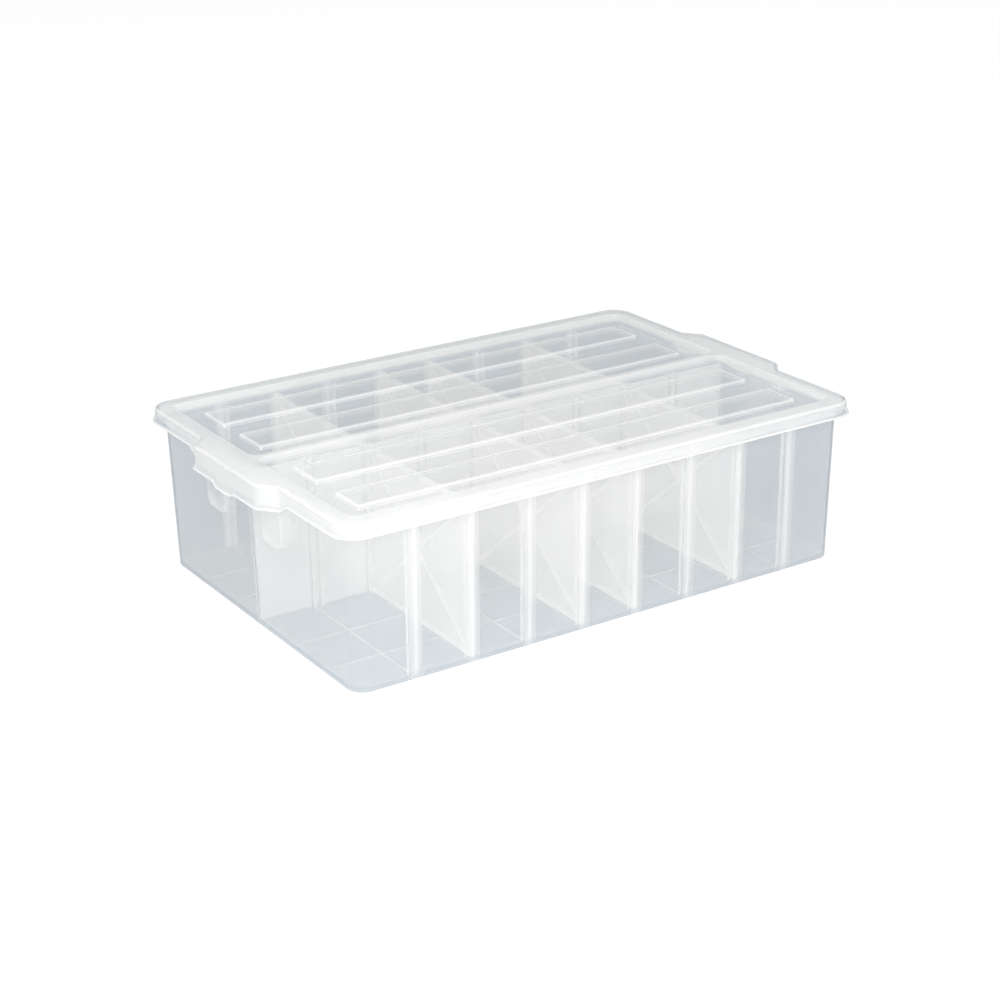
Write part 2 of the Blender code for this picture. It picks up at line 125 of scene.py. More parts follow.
# ---- tub: sizes ---------------------------------------------------------------------------
WALL, FLOOR = 0.0018, 0.0022
BASE_X, BASE_Y = 0.1870, 0.1256        # outer half sizes at the base
TOP_X, TOP_Y = 0.1893, 0.1268          # outer half sizes under the rim
TUB_CORNER = 0.0120
TUB_STEPS = 12
FLOOR_FILLET = 0.0002                  # between the walls' inner faces and the floor
FILLET_POINTS = ((0.0, 1.0), (0.13, 0.5), (0.5, 0.13), (1.0, 0.0))   # its shares up and in
END_FACE = 0.05                        # a face along Y is an end wall's if it is longer

RIM_THICK = 0.0018
RIM_UNDER = RIM_TOP - RIM_THICK
RIM_EDGE = ((0.0, 0.0012), (0.0003, 0.0004), (0.0012, 0.0))    # inset and drop, going up
LIP_WALL = 0.0016
LIP_DROP, LIP_DROP_HANDLE = 0.0048, 0.0105     # lip below the rim's underside
LIP_PLAY = 0.0005                      # between the lid's skirt and the lip
LIP_ROUND = 0.0004
BRIM_ROUND = 0.0005                    # rounding of the mouth's inner edge
BRIM_BAND = 0.004                      # mouth points this near a wall get the rounding
END_BAND = 0.014                       # mouth points this near an end move out with it
PARTITION_BAND = 0.002                 # those this near the middle don't move sideways

BASE_EDGE = 0.0009
FOOT_TOP = 0.0028                      # height where the foot's rounding is over
FOOT_ARC = 5
BASE_RECESS = 0.0005                   # the base's panel stands this far above the floor
FOOT_PROFILE = (
    (-0.0085, BASE_RECESS, 0.0), (-0.0078, 0.0, 0.0), (-0.0047, 0.0, 0.0),
    (0.0, 0.0, BASE_EDGE), (0.0, FOOT_TOP, 0.0))
BASE_RIB = 0.0011                      # width of the fine ribs under the base
BASE_RIB_ROUND = 0.0003
BASE_RIB_CORNER = 0.0004
BASE_RIB_END = 0.0080                  # they end this far inside the base's outline
BASE_RIB_LIFT = 0.00004                # the long ones lie this much higher than the cross ones
BASE_RIB_SINK = 0.0001                 # their tops reach this far into the base
BASE_ROWS = (0.0418, 0.0837)           # y of the long ones, each side

PAD_NEAR, PAD_FAR = 0.0250, 0.0500     # the two tongues under each handle
PAD_X = 0.1936                         # their outer face
PAD_SHOULDER, PAD_NECK = 0.0900, 0.0978        # they narrow between these heights
PAD_FACE = (0.0, 0.0686, 0.0070, -0.0015)      # spread, bottom height, corner, spread at the neck
PAD_ROOT = (0.0098, 0.0674, 0.0190, 0.0010)    # the same where they meet the wall
PAD_LEVELS = ((0.90, 0.93), (0.96, 0.985), (1.0, 1.0))   # way across and out, root to face
PAD_STEPS = 10

PARTITION_LOW, PARTITION_HIGH = 0.0012, 0.0009     # half thickness at the floor and at its top
SLOT_COUNT, SLOT_PITCH = 8, 0.04136
SLOT_GAP, RIB_WIDE, RIB_DEEP = 0.0029, 0.0028, 0.0034
RIB_ROUND = 0.0005

# ---- dividers: sizes ----------------------------------------------------------------------
DIVIDER_WEB = 0.0012                   # thickness of the panels
DIVIDER_FRAME, DIVIDER_CROSS = 0.0034, 0.0036  # widths of the raised frame and cross
DIVIDER_ROUND = 0.0003
DIVIDER_FIT = 0.0004                   # play between a divider and the walls at its ends
DIVIDER_PROUD = 0.0003                 # dividers stand this far above the centre wall
DIVIDER_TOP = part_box("divider_front_1")[1].z
INSIDE_TOP = DIVIDER_TOP - DIVIDER_PROUD       # top of the centre wall and of the slot ribs
ROUND_SHARE = 0.3                      # way in and up to a rounding's middle point

# ---- mesh ---------------------------------------------------------------------------------
MERGE = 0.000001                       # points closer than this are one
SOFT_ANGLE, DIVIDER_SOFT_ANGLE = 42.0, 40.0    # edges sharper than this shade as creases

# ---- cloudiness of each region, as a share of light scattered at one face ------------------
CLOUD_WALL = 0.16         # tub walls between the ribs
CLOUD_FLOOR = 0.16
CLOUD_FOOT = 0.24         # the rounding at the base's edge
CLOUD_RIB = 0.36          # a slot rib's face
CLOUD_RIB_SIDE = 0.28
CLOUD_COLUMN = 0.31       # the outer wall's face over a rib
CLOUD_GROOVE = 0.36       # between a slot's two ribs
CLOUD_END_LINE = 0.32     # where the centre wall meets the end wall
CLOUD_BASE_RIB = 0.30
CLOUD_RIM = 0.50
CLOUD_RIM_FLAT = 0.35     # its flat upper and lower faces
CLOUD_PAD = 0.34          # a tongue's outer face
CLOUD_PAD_SIDE = 0.26
CLOUD_PAD_EDGE = 0.44
CLOUD_LID = 0.14          # the lid's panels
CLOUD_LID_FRAME = 0.36    # the frame around them, and the ridge
CLOUD_SLOPE = (0.56, 0.50, 0.38, 0.28)    # from the recess's lip down to its floor
CLOUD_SLOPE_FOOT = 0.22
CLOUD_RECESS_EDGE = 0.60
CLOUD_BAR_SIDE = 0.30
CLOUD_BAR_EDGE = 0.60
CLOUD_EDGE = 0.48         # divider edges and the centre wall's top
CLOUD_SKIRT = 0.30
CLOUD_BEAD = 0.66         # the skirt's bead and the lid's top edge
CLOUD_RIM_LINE = 0.12     # the thin line inside the lid's top edge
CLOUD_UNDER = 0.16        # the skirt's inner face
CLOUD_LIP = 0.26
CLOUD_WEB = 0.41          # a divider's panels
CLOUD_CROSS = 0.40        # the sides of its frame and cross
CLOUD_FRAME = 0.52        # the faces of its frame and cross
CLOUD_PARTITION = 0.42    # the centre wall


# ---- outline helpers ----------------------------------------------------------------------
def unit(x, y):
    length = math.hypot(x, y)
    return x / length, y / length


def outline(corners, grow=0.0):
    """Points of a closed outline, counter-clockwise, moved outwards by grow.

    A corner is (x, y, radius, steps, ...); with no steps it is a plain point."""
    points = []
    count = len(corners)
    for i, corner in enumerate(corners):
        x, y, radius, steps = corner[:4]
        before = corners[i - 1]
        after = corners[(i + 1) % count]
        d1 = unit(x - before[0], y - before[1])
        d2 = unit(after[0] - x, after[1] - y)
        n1 = (d1[1], -d1[0])
        n2 = (d2[1], -d2[0])
        dot = n1[0] * n2[0] + n1[1] * n2[1]
        cx = x + grow * (n1[0] + n2[0]) / (1.0 + dot)
        cy = y + grow * (n1[1] + n2[1]) / (1.0 + dot)
        if steps == 0:
            points.append((cx, cy))
            continue
        sign = 1.0 if d1[0] * d2[1] - d1[1] * d2[0] > 0 else -1.0
        r = max(radius + sign * grow, LEAST_RADIUS)
        half = math.acos(max(-1.0, min(1.0, dot))) / 2
        start = (cx - d1[0] * r * math.tan(half), cy - d1[1] * r * math.tan(half))
        centre = (start[0] - n1[0] * r * sign, start[1] - n1[1] * r * sign)
        angle = math.atan2(start[1] - centre[1], start[0] - centre[0])
        for k in range(steps + 1):
            turn = angle + 2 * half * sign * k / steps
            points.append((centre[0] + r * math.cos(turn), centre[1] + r * math.sin(turn)))
    return points


def spans(corners, plain, column=4):
    """Cloudiness of each side of an outline: arcs are plain, the rest as each corner says."""
    values = []
    for corner in corners:
        values.extend([plain] * corner[3])
        values.append(corner[column] if len(corner) > column else plain)
    return values


def per_point(corners, column):
    """One value for each point of the outline, from its corner's column."""
    values = []
    for corner in corners:
        values.extend([corner[column]] * (corner[3] + 1))
    return values


def box(x0, x1, y0, y1, radius, steps):
    """Corners of a rectangle with rounded corners."""
    return [(x0, y0, radius, steps), (x1, y0, radius, steps),
            (x1, y1, radius, steps), (x0, y1, radius, steps)]


def rounded(path, steps):
    """A profile of (out, up, radius) points with each radius turned into an arc."""
    result = []
    for i, (g, z, radius) in enumerate(path):
        if radius == 0 or i in (0, len(path) - 1):
            result.append((g, z))
            continue
        d1 = unit(path[i - 1][0] - g, path[i - 1][1] - z)
        d2 = unit(path[i + 1][0] - g, path[i + 1][1] - z)
        cosine = max(-1.0, min(1.0, d1[0] * d2[0] + d1[1] * d2[1]))
        half = math.acos(cosine) / 2
        reach = radius / math.tan(half)
        middle = unit(d1[0] + d2[0], d1[1] + d2[1])
        away = radius / math.sin(half)
        centre = (g + middle[0] * away, z + middle[1] * away)
        start = (g + d1[0] * reach, z + d1[1] * reach)
        end = (g + d2[0] * reach, z + d2[1] * reach)
        a0 = math.atan2(start[1] - centre[1], start[0] - centre[0])
        a1 = math.atan2(end[1] - centre[1], end[0] - centre[0])
        turn = (a1 - a0 + math.pi) % (2 * math.pi) - math.pi
        for k in range(steps + 1):
            a = a0 + turn * k / steps
            result.append((centre[0] + radius * math.cos(a), centre[1] + radius * math.sin(a)))
    return result


def divided(path, index, parts):
    """The same profile with the stretch after one point cut into equal parts."""
    (g0, z0), (g1, z1) = path[index], path[index + 1]
    between = [(g0 + (g1 - g0) * k / parts, z0 + (z1 - z0) * k / parts) for k in range(1, parts)]
    return path[:index + 1] + between + path[index + 1:]


class Shell:
    """Collects rings of points, the faces between them and each face's cloudiness."""

    def __init__(self):
        self.points = []
        self.faces = []
        self.cloud = []

    def ring(self, outline_points, heights):
        if not isinstance(heights, (list, tuple)):
            heights = [heights] * len(outline_points)
        first = len(self.points)
        for (x, y), z in zip(outline_points, heights):
            self.points.append(Vector((x, y, z)))
        return list(range(first, len(self.points)))

    def point(self, x, y, z):
        self.points.append(Vector((x, y, z)))
        return len(self.points) - 1

    def face(self, indices, cloud):
        self.faces.append(tuple(indices))
        self.cloud.append(cloud)

    def skin(self, low, high, cloud, closed=True):
        """Faces between two rings; cloud is one value or one for each side."""
        count = len(low)
        last = count if closed else count - 1
        for i in range(last):
            j = (i + 1) % count
            value = cloud[i] if isinstance(cloud, (list, tuple)) else cloud
            self.face((low[i], low[j], high[j], high[i]), value)

    def stack(self, rings, cloud):
        for low, high in zip(rings, rings[1:]):
            self.skin(low, high, cloud)

    def cap(self, edge, cloud, holes=()):
        """A flat face inside a ring, less its holes."""
        loops = [edge] + list(holes)
        flat = [index for loop in loops for index in loop]
        coords = [[self.points[index] for index in loop] for loop in loops]
        for a, b, c in tessellate_polygon(coords):
            self.face((flat[a], flat[b], flat[c]), cloud)

    def build(self, name, material, soft_angle=SOFT_ANGLE):
        mesh = bpy.data.meshes.new(name)
        mesh.from_pydata([tuple(p) for p in self.points], [], self.faces)
        cloud = mesh.attributes.new("cloud", "FLOAT", "FACE")
        cloud.data.foreach_set("value", self.cloud)
        bm = bmesh.new()
        bm.from_mesh(mesh)
        bmesh.ops.remove_doubles(bm, verts=bm.verts, dist=MERGE)
        bmesh.ops.recalc_face_normals(bm, faces=bm.faces)
        for face in bm.faces:
            face.smooth = True
        for edge in bm.edges:
            edge.smooth = edge.calc_face_angle(0.0) < math.radians(soft_angle)
        bm.to_mesh(mesh)
        bm.free()
        mesh.materials.append(material)
        piece = bpy.data.objects.new(name, mesh)
        bpy.context.scene.collection.objects.link(piece)
        weighted = piece.modifiers.new("weighted normals", "WEIGHTED_NORMAL")
        weighted.keep_sharp = True
        weighted.weight = 100
        return piece


# ---- materials ----------------------------------------------------------------------------
SEED_STEP = (0.37, 0.61, 0.13)    # shifts each material's patterns apart
SLOW_SHARE, FLOW_SHARE, STEADY_SHARE = 0.20, 0.08, 0.86    # how much each varies the clouding
GRAIN_SHARE = 0.025       # height of the fine grain beside the slow ripple
THROUGH_SHARE = 0.42      # share of the scattered light that passes on
GLOSS_LEAST, GLOSS_EDGE_ON, GLOSS_FALL = 0.035, 0.70, 5.0  # gloss face on, edge on, and its fall
WHITE = (1.0, 1.0, 1.0, 1.0)


def milky(name, colour, passes, rough, seed):
    """Milky polypropylene: part clear, part scattering, with a soft gloss over both.

    The face attribute cloud is the scattering share. Slow clouds and flow lines vary it, and
    a fine moulded grain and a soft ripple shape the surface."""
    material = bpy.data.materials.new(name)
    material.use_nodes = True
    nodes, links = material.node_tree.nodes, material.node_tree.links
    nodes.clear()

    def make(kind, **values):
        node = nodes.new(kind)
        for key, value in values.items():
            if key in node.inputs:
                node.inputs[key].default_value = value
            else:
                setattr(node, key, value)
        return node

    def maths(operation, a, b):
        node = make("ShaderNodeMath", operation=operation)
        for socket, value in zip(node.inputs, (a, b)):
            if isinstance(value, (int, float)):
                socket.default_value = value
            else:
                links.new(value, socket)
        return node.outputs[0]

    place = make("ShaderNodeTexCoord")
    shift = make("ShaderNodeMapping")
    shift.inputs["Location"].default_value = [seed * step for step in SEED_STEP]
    links.new(place.outputs["Object"], shift.inputs["Vector"])

    slow = make("ShaderNodeTexNoise", Scale=14.0, Detail=3.0, Roughness=0.5)
    flow_stretch = make("ShaderNodeMapping")
    flow_stretch.inputs["Scale"].default_value = (22.0, 60.0, 60.0)
    flow = make("ShaderNodeTexNoise", Scale=1.0, Detail=4.0, Roughness=0.55, Distortion=0.6)
    grain = make("ShaderNodeTexNoise", Scale=320.0, Detail=1.0, Roughness=0.5)
    ripple = make("ShaderNodeTexNoise", Scale=20.0, Detail=1.0, Roughness=0.4)
    links.new(shift.outputs[0], slow.inputs["Vector"])
    links.new(shift.outputs[0], flow_stretch.inputs["Vector"])
    links.new(flow_stretch.outputs[0], flow.inputs["Vector"])
    links.new(shift.outputs[0], grain.inputs["Vector"])
    links.new(shift.outputs[0], ripple.inputs["Vector"])

    cloud = make("ShaderNodeAttribute", attribute_name="cloud")
    vary = maths("ADD", maths("MULTIPLY", slow.outputs["Fac"], SLOW_SHARE),
                 maths("MULTIPLY", flow.outputs["Fac"], FLOW_SHARE))
    share = maths("MULTIPLY", cloud.outputs["Fac"], maths("ADD", vary, STEADY_SHARE))
    share.node.use_clamp = True

    fine = maths("MULTIPLY", grain.outputs["Fac"], GRAIN_SHARE)
    height = maths("ADD", fine, ripple.outputs["Fac"])
    bump = make("ShaderNodeBump", Strength=0.25, Distance=0.0002)
    links.new(height, bump.inputs["Height"])

    scatter = make("ShaderNodeBsdfDiffuse", Roughness=0.6)
    scatter.inputs["Color"].default_value = colour + (1.0,)
    through = make("ShaderNodeBsdfTranslucent")
    through.inputs["Color"].default_value = colour + (1.0,)
    clear = make("ShaderNodeBsdfTransparent")
    clear.inputs["Color"].default_value = passes + (1.0,)
    gloss = make("ShaderNodeBsdfGlossy", Roughness=rough)
    gloss.inputs["Color"].default_value = WHITE
    for shader in (scatter, through, gloss):
        links.new(bump.outputs[0], shader.inputs["Normal"])

    body = make("ShaderNodeMixShader", Fac=THROUGH_SHARE)
    links.new(scatter.outputs[0], body.inputs[1])
    links.new(through.outputs[0], body.inputs[2])
    wall = make("ShaderNodeMixShader")
    links.new(share, wall.inputs[0])
    links.new(clear.outputs[0], wall.inputs[1])
    links.new(body.outputs[0], wall.inputs[2])

    facing = make("ShaderNodeLayerWeight", Blend=0.5)
    links.new(bump.outputs[0], facing.inputs["Normal"])
    edge_on = maths("POWER", facing.outputs["Facing"], GLOSS_FALL)
    mirror = maths("ADD", maths("MULTIPLY", edge_on, GLOSS_EDGE_ON), GLOSS_LEAST)
    skin = make("ShaderNodeMixShader")
    links.new(mirror, skin.inputs[0])
    links.new(wall.outputs[0], skin.inputs[1])
    links.new(gloss.outputs[0], skin.inputs[2])
    output = make("ShaderNodeOutputMaterial")
    links.new(skin.outputs[0], output.inputs["Surface"])
    return material


# ---- plan of the lid, handles included ----------------------------------------------------
def lid_plan():
    """Corners of the lid's outline with the skirt height and extra flare of each."""
    a, b = LID_X, LID_Y
    reach = a + HANDLE_REACH
    tab = TAB_HALF + TAB_SIDE
    foot_steps, outer_steps = HANDLE_STEPS
    right = [
        (a, -b, LID_CORNER, LID_STEPS, LID_SKIRT, 0.0),
        (a, -HANDLE_FOOT - SKIRT_STEP, 0.0, 0, LID_SKIRT, 0.0),
        (a, -HANDLE_FOOT, HANDLE_ROUND, foot_steps, HANDLE_SKIRT, 0.0),
        (reach, -HANDLE_HALF, HANDLE_ROUND, outer_steps, HANDLE_SKIRT, 0.0),
        (reach, -tab, 0.0, 0, HANDLE_SKIRT, 0.0),
        (reach, -TAB_HALF, 0.0, 0, HANDLE_SKIRT + TAB_DROP, TAB_FLARE),
        (reach, TAB_HALF, 0.0, 0, HANDLE_SKIRT + TAB_DROP, TAB_FLARE),
        (reach, tab, 0.0, 0, HANDLE_SKIRT, 0.0),
        (reach, HANDLE_HALF, HANDLE_ROUND, outer_steps, HANDLE_SKIRT, 0.0),
        (a, HANDLE_FOOT, HANDLE_ROUND, foot_steps, HANDLE_SKIRT, 0.0),
        (a, HANDLE_FOOT + SKIRT_STEP, 0.0, 0, LID_SKIRT, 0.0),
        (a, b, LID_CORNER, LID_STEPS, LID_SKIRT, 0.0),
    ]
    left = [(-x, -y, r, n, d, f) for x, y, r, n, d, f in right]
    return right + left


PLAN = lid_plan()
PLAN_DROP = per_point(PLAN, 4)
PLAN_FLARE = per_point(PLAN, 5)


def plan_ring(shell, grow, heights, flare=0.0):
    """Ring of the lid's outline; flare adds to the tabs' points only."""
    plain = outline(PLAN, grow)
    if flare:
        far = outline(PLAN, grow + flare)
        plain = [q if extra else p for p, q, extra in zip(plain, far, PLAN_FLARE)]
    return shell.ring(plain, heights)


# ---- lid ----------------------------------------------------------------------------------
def skirt_and_frame(shell):
    """The lid's outside, from the skirt's lower edge up to the frame; returns its rings."""
    low = [LID_TOP - drop for drop in PLAN_DROP]
    rings = []
    for grow, up in rounded(BEAD_PROFILE, BEAD_ARC):
        flare = TAB_FLARE * max(0.0, min(1.0, (TAB_FADE_TOP - up) / TAB_FADE_RUN))
        rings.append(plan_ring(shell, grow, [base + up for base in low], flare))
    bead_faces = 3 * (BEAD_ARC + 1)
    skirt_faces = len(rings) + 1 - bead_faces
    for grow, up in rounded(TOP_EDGE_PROFILE, TOP_EDGE_ARC):
        rings.append(plan_ring(shell, grow, LID_TOP + up))
    values = [CLOUD_BEAD] * bead_faces + [CLOUD_SKIRT] * skirt_faces
    values += [CLOUD_BEAD] * (TOP_EDGE_ARC - 1) + [CLOUD_RIM_LINE] * 2
    for lower, upper, value in zip(rings, rings[1:], values):
        shell.skin(lower, upper, value)
    return rings


def skirt_inside(shell, edge):
    """The skirt's inner face, from the outside's first ring up to the frame's underside."""
    low = [LID_TOP - drop for drop in PLAN_DROP]
    rings = [edge,
             plan_ring(shell, LID_FLARE * BEAD_SHARE - LID_WALL, [z + BEAD_WAIST for z in low],
                       TAB_FLARE * TAB_INNER),
             plan_ring(shell, SKIRT_DRAFT - LID_WALL, [z + SKIRT_PLAIN for z in low])]
    for grow, up in rounded(UNDER_EDGE_PROFILE, UNDER_ARC):
        rings.append(plan_ring(shell, grow, LID_TOP + up))
    shell.stack(rings, CLOUD_UNDER)
    return rings


def build_lid(material):
    shell = Shell()
    outer = skirt_and_frame(shell)
    inner = skirt_inside(shell, outer[0])

    panel_profile = divided(rounded(PANEL_PROFILE, PANEL_ARC), PANEL_ARC + 1, len(CLOUD_SLOPE))
    panel_cloud = [CLOUD_LID_FRAME] + [CLOUD_RECESS_EDGE] * PANEL_ARC + list(CLOUD_SLOPE)
    panel_cloud += [CLOUD_SLOPE_FOOT] * PANEL_ARC + [CLOUD_LID]
    below_profile = rounded(PANEL_UNDER_PROFILE, UNDER_ARC)
    bar_profile = rounded(BAR_PROFILE, BAR_ARC)
    bar_cloud = [CLOUD_LID] * (BAR_ARC + 1) + [CLOUD_BAR_SIDE]
    bar_cloud += [CLOUD_BAR_EDGE] * (BAR_ARC + 1)
    hollow_profile = rounded(HOLLOW_PROFILE, UNDER_ARC)

    def sweep(corners, profile, cloud):
        """Rings of one outline along a profile, skinned; cloud is one value or one a ring."""
        rings = [shell.ring(outline(corners, g), LID_TOP + z) for g, z in profile]
        if isinstance(cloud, list):
            for before, after, value in zip(rings, rings[1:], cloud):
                shell.skin(before, after, value)
        else:
            shell.stack(rings, cloud)
        return rings

    top_holes = []
    under_holes = []
    for side in (-1, 1):
        y0, y1 = sorted((side * RIDGE_HALF, side * RECESS_Y))
        panel = box(-RECESS_X, RECESS_X, y0, y1, RECESS_CORNER, RECESS_STEPS)
        sunk = sweep(panel, panel_profile, panel_cloud)
        below = sweep(panel, below_profile, CLOUD_LID)
        top_holes.append(sunk[0])
        under_holes.append(below[0])
        floor_holes = []
        ceiling_holes = []
        for near, far in BAR_ROWS:
            y0, y1 = sorted((side * near, side * far))
            bar = box(-BAR_X, BAR_X, y0, y1, BAR_CORNER, BAR_STEPS)
            raised = sweep(bar, bar_profile, bar_cloud)
            shell.cap(raised[-1], CLOUD_LID)
            floor_holes.append(raised[0])
            hollow = sweep(bar, hollow_profile, CLOUD_LID)
            shell.cap(hollow[-1], CLOUD_LID)
            ceiling_holes.append(hollow[0])
        shell.cap(sunk[-1], CLOUD_LID, floor_holes)
        shell.cap(below[-1], CLOUD_LID, ceiling_holes)
    shell.cap(outer[-1], CLOUD_LID_FRAME, top_holes)
    shell.cap(inner[-1], CLOUD_LID_FRAME, under_holes)
    piece = shell.build("lid_shell", material)
    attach(piece, "lid")
    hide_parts("lid")
    return piece


# ---- tub ----------------------------------------------------------------------------------
def slot_centre(index):
    """x of a slot's middle, 0 being nearest -X."""
    return (index - (SLOT_COUNT - 1) / 2) * SLOT_PITCH


def outer_x(z):
    return BASE_X + (TOP_X - BASE_X) * z / RIM_UNDER


def outer_y(z):
    return BASE_Y + (TOP_Y - BASE_Y) * z / RIM_UNDER


def inner_x(z):
    return outer_x(z) - WALL


def inner_y(z):
    return outer_y(z) - WALL


def partition_half(z):
    """Half thickness of the centre wall at one height."""
    return PARTITION_LOW + (PARTITION_HIGH - PARTITION_LOW) * z / INSIDE_TOP


def slot_columns():
    """x and cloudiness of each column edge on the long walls, from -X to +X."""
    columns = []
    for index in range(SLOT_COUNT):
        x = slot_centre(index)
        edge = SLOT_GAP / 2 + RIB_WIDE
        columns += [(x - edge, CLOUD_COLUMN), (x - SLOT_GAP / 2, CLOUD_GROOVE),
                    (x + SLOT_GAP / 2, CLOUD_COLUMN), (x + edge, CLOUD_WALL)]
    return columns


def wall_corners(x, y, radius):
    """The tub's outer plan, with a column at each slot and at the centre wall."""
    steps, half = TUB_STEPS, PARTITION_LOW
    corners = [(-x, -y, radius, steps, CLOUD_WALL)]
    corners += [(px, -y, 0.0, 0, cloud) for px, cloud in slot_columns()]
    corners += [(x, -y, radius, steps, CLOUD_WALL), (x, -half, 0.0, 0, CLOUD_END_LINE),
                (x, half, 0.0, 0, CLOUD_WALL), (x, y, radius, steps, CLOUD_WALL)]
    turned = [(-px, -py, r, n, cloud) for px, py, r, n, cloud in corners]
    return corners[:-1] + turned[:-1]


def rib(x0, x1, wall, out, kind, after):
    """One slot rib in plan from x0 to x1, towards +Y from the wall where out is +1.

    after is the cloudiness of the wall beyond its far foot."""
    r = math.copysign(RIB_ROUND, x1 - x0)
    tip = wall + out * RIB_DEEP
    shoulder = tip - out * RIB_ROUND
    side, top = CLOUD_RIB_SIDE, CLOUD_RIB
    foot = "W" if kind == "T" else "P"
    return [(x0, wall, 0, 0, side, foot), (x0, shoulder, 0, 0, top, kind),
            (x0 + r, tip, 0, 0, top, kind), (x1 - r, tip, 0, 0, top, kind),
            (x1, shoulder, 0, 0, side, kind), (x1, wall, 0, 0, after, foot)]


def pocket(z):
    """Corners of the front half's inside at one height: (x, y, radius, steps, cloud, kind).

    Kinds: W on the outer walls, T a rib on the outer wall, P on the centre wall's side."""
    a, b, p = inner_x(z), inner_y(z), partition_half(z)
    half = SLOT_GAP / 2
    corners = [(-a, -p, 0, 0, CLOUD_WALL, "W"),
               (-a, -b, TUB_CORNER - WALL, TUB_STEPS, CLOUD_WALL, "W")]
    centres = [slot_centre(index) for index in range(SLOT_COUNT)]
    for x in centres:
        corners += rib(x - half - RIB_WIDE, x - half, -b, 1, "T", CLOUD_GROOVE)
        corners += rib(x + half, x + half + RIB_WIDE, -b, 1, "T", CLOUD_WALL)
    corners += [(a, -b, TUB_CORNER - WALL, TUB_STEPS, CLOUD_WALL, "W"),
                (a, -p, 0, 0, CLOUD_PARTITION, "W")]
    for x in reversed(centres):
        corners += rib(x + half + RIB_WIDE, x + half, -p, -1, "P", CLOUD_GROOVE)
        corners += rib(x - half, x - half - RIB_WIDE, -p, -1, "P", CLOUD_PARTITION)
    return corners


def pad_outline(side, shape):
    """A tongue's U in (y, z), from the rim down, along the bottom and up again."""
    spread, low, r, neck = shape
    near, far = PAD_NEAR - spread, PAD_FAR + spread
    points = [(PAD_NEAR - neck, RIM_UNDER), (PAD_NEAR - neck, PAD_NECK), (near, PAD_SHOULDER)]
    for centre, start in ((near + r, 180), (far - r, 270)):
        for k in range(PAD_STEPS + 1):
            angle = math.radians(start + 90 * k / PAD_STEPS)
            points.append((centre + r * math.cos(angle), low + r + r * math.sin(angle)))
    points += [(far, PAD_SHOULDER), (PAD_FAR + neck, PAD_NECK), (PAD_FAR + neck, RIM_UNDER)]
    if side < 0:
        points = [(-y, z) for y, z in reversed(points)]
    return points


def build_tongue(shell, end_face):
    """One tongue on an end face, given as its corners (low, low, high, high).

    Fills the face around it and returns the tongue's part of the wall's upper edge."""
    p, q = shell.points[end_face[0]], shell.points[end_face[1]]
    out = 1 if p.x > 0 else -1
    side = 1 if p.y + q.y > 0 else -1
    root = pad_outline(side * out, PAD_ROOT)
    face = pad_outline(side * out, PAD_FACE)
    wall = [shell.point(out * outer_x(z), out * y, z) for y, z in root]
    levels = []
    for across, raised in PAD_LEVELS:
        level = []
        for (y0, z0), (y1, z1) in zip(root, face):
            x0 = outer_x(z0)
            level.append(shell.point(out * (x0 + (PAD_X - x0) * raised),
                                     out * (y0 + (y1 - y0) * across), z0 + (z1 - z0) * across))
        levels.append(level)
    shell.skin(wall, levels[0], CLOUD_PAD_SIDE, closed=False)
    for inner, outer in zip(levels, levels[1:]):
        shell.skin(inner, outer, CLOUD_PAD_EDGE, closed=False)
    shell.cap(levels[-1], CLOUD_PAD)
    shell.cap(end_face[:3] + list(reversed(wall)) + end_face[3:], CLOUD_WALL)
    edge = [wall[0]] + [level[0] for level in levels]
    return edge + [level[-1] for level in reversed(levels)] + [wall[-1]]


def tub_outside(shell):
    """The base, the foot's rounding, the outer walls and the tongues; returns the upper edge."""
    base = wall_corners(BASE_X, BASE_Y, TUB_CORNER)
    cloud = spans(base, CLOUD_WALL)
    rings = []
    for grow, up in rounded(FOOT_PROFILE, FOOT_ARC)[:-1]:
        rings.append(shell.ring(outline(base, grow), max(up, 0.0)))
    foot = wall_corners(outer_x(FOOT_TOP), outer_y(FOOT_TOP), TUB_CORNER)
    rings.append(shell.ring(outline(foot), FOOT_TOP))
    shell.cap(rings[0], CLOUD_FLOOR)
    shell.stack(rings, [max(value, CLOUD_FOOT) for value in cloud])
    low = rings[-1]
    high = shell.ring(outline(wall_corners(TOP_X, TOP_Y, TUB_CORNER)), RIM_UNDER)
    edge = []
    for i in range(len(low)):
        j = (i + 1) % len(low)
        face = [low[i], low[j], high[j], high[i]]
        edge.append(high[i])
        p, q = shell.points[low[i]], shell.points[low[j]]
        if abs(p.x - q.x) < MERGE and abs(p.y - q.y) > END_FACE:
            edge += build_tongue(shell, face)
        else:
            shell.face(face, cloud[i])
    return edge


def tub_rim(shell, under_edge):
    """The rim with its lip, which follow the lid's outline; returns the rim's top ring."""
    low = [RIM_UNDER - (LIP_DROP if drop == LID_SKIRT else LIP_DROP_HANDLE)
           for drop in PLAN_DROP]
    raised = [z + LIP_ROUND for z in low]
    outside = -LID_WALL - LIP_PLAY
    inside = outside - LIP_WALL
    rings = [
        plan_ring(shell, inside, RIM_UNDER),
        plan_ring(shell, inside, raised),
        plan_ring(shell, inside + LIP_ROUND, low),
        plan_ring(shell, outside - LIP_ROUND, low),
        plan_ring(shell, outside, raised),
    ]
    rings += [plan_ring(shell, outside - inset, RIM_TOP - drop) for inset, drop in RIM_EDGE]
    shell.stack(rings, CLOUD_LIP)
    shell.cap(rings[0], CLOUD_RIM_FLAT, [under_edge])
    return rings[-1]


